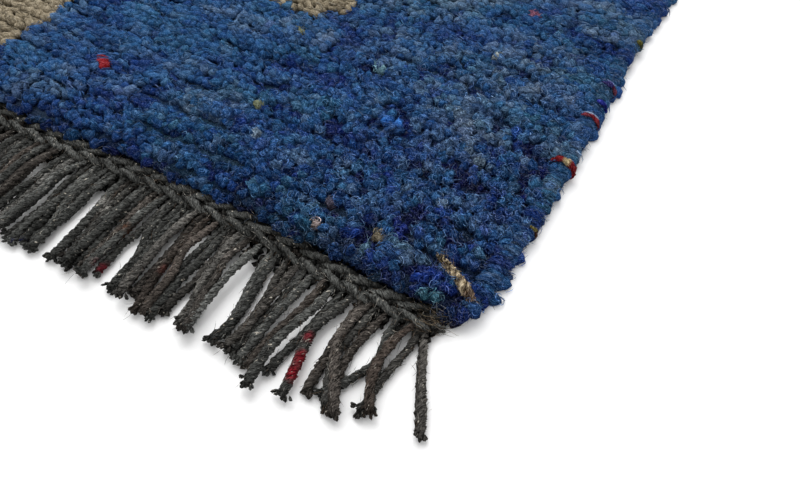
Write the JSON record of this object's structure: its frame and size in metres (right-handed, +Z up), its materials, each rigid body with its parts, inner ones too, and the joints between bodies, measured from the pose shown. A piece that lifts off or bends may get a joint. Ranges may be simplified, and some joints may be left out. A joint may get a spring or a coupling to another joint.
{
  "type": "hand-knotted wool rug",
  "caption": "Small flat rug with a thick knotted wool pile, wrapped selvedges, twined end cords and a plied warp fringe at both ends.",
  "frame": {"origin": "on the floor under the middle of the rug", "axes": "+X across the rug along the rows of knots, +Y along the warp from the near fringe to the far one, +Z up"},
  "size_m": [0.603, 0.9969, 0.013],
  "materials": {
    "pile_wool": "heathered blue wool pile, matt and fuzzy, with taupe figures",
    "selvedge_wool": "loosely wrapped heathered blue wool yarn, matt",
    "warp_wool": "plied charcoal wool cord with pale and coloured flecks, matt"
  },
  "bodies": {
    "root": {"pile": "pile_wool", "selvedge_right": "selvedge_wool", "selvedge_left": "selvedge_wool", "twining_near": "warp_wool", "twining_far": "warp_wool", "fringe_near": "warp_wool", "fringe_far": "warp_wool"}
  },
  "joints": []
}
